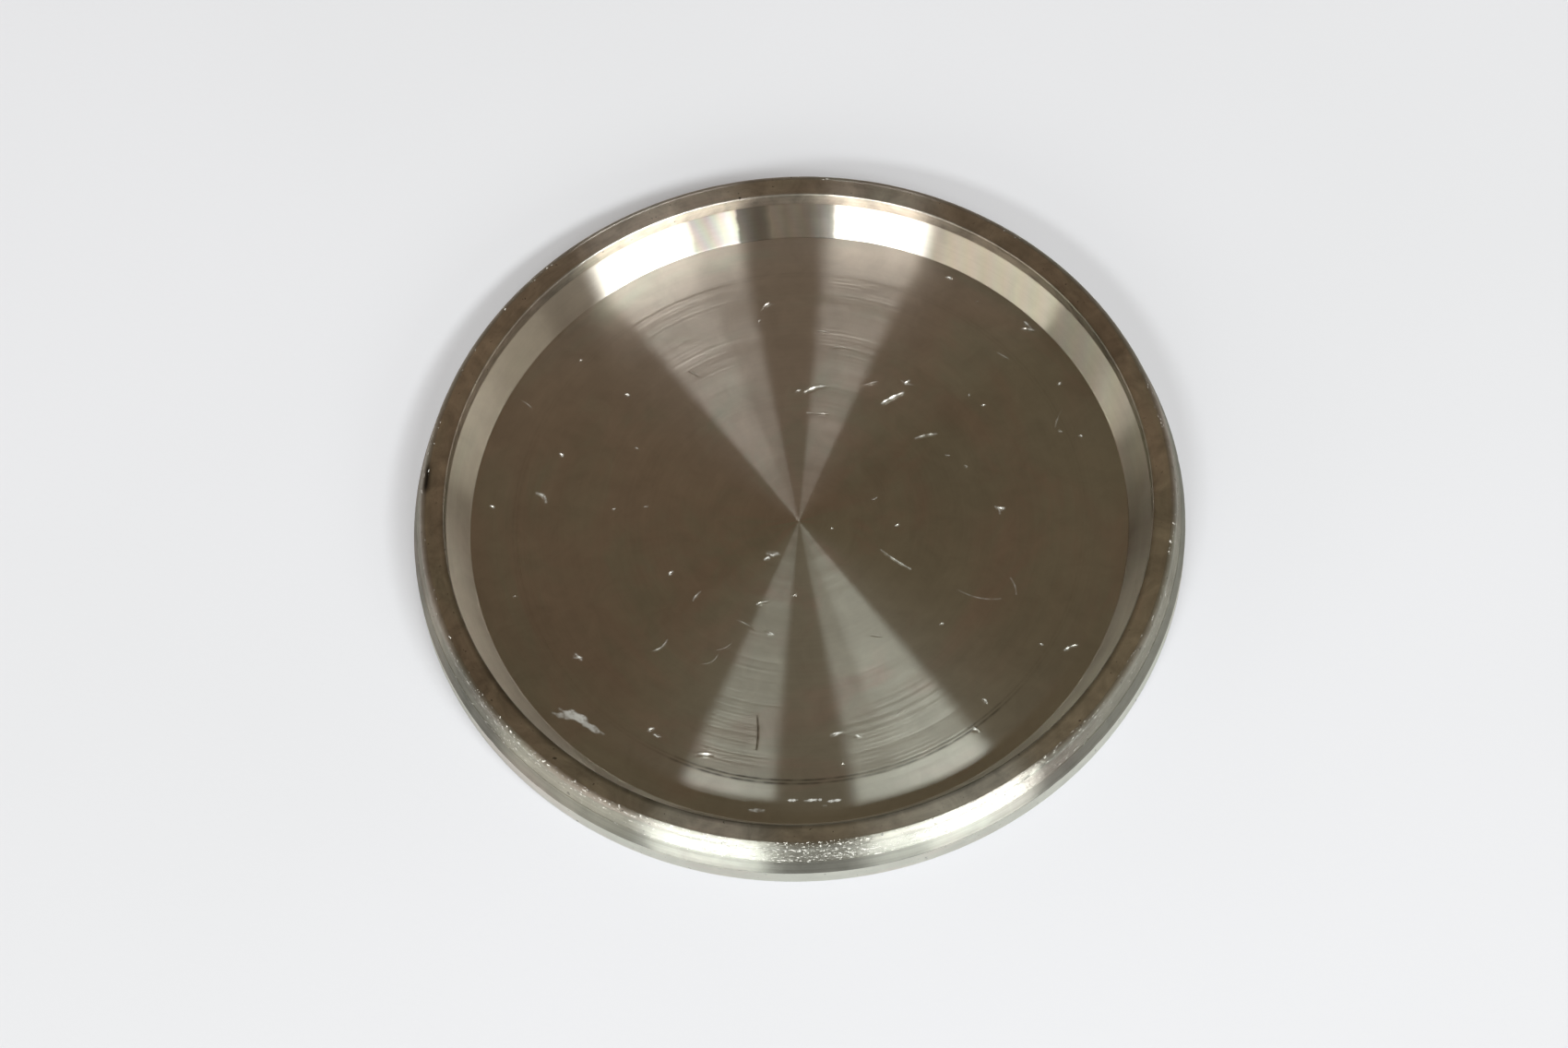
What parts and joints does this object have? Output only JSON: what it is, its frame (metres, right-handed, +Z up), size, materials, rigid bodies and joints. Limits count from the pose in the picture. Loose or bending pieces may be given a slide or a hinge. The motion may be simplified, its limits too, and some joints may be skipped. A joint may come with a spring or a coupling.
{
  "type": "floor drain cover",
  "caption": "Round recessed floor drain cover turned from solid metal, with a raised rounded rim, a sloping inner wall, a flat floor and a short vertical land round the outside.",
  "frame": {"origin": "centre of the flat underside", "axes": "+Z up along the turning axis, towards the open face of the recess; X and Y lie in the underside"},
  "size_m": [0.1, 0.1, 0.008],
  "materials": {
    "turned_metal": "lathe-turned, fine concentric tool lines, lightly scratched"
  },
  "bodies": {
    "root": {"drain_cover": "turned_metal"}
  },
  "joints": []
}
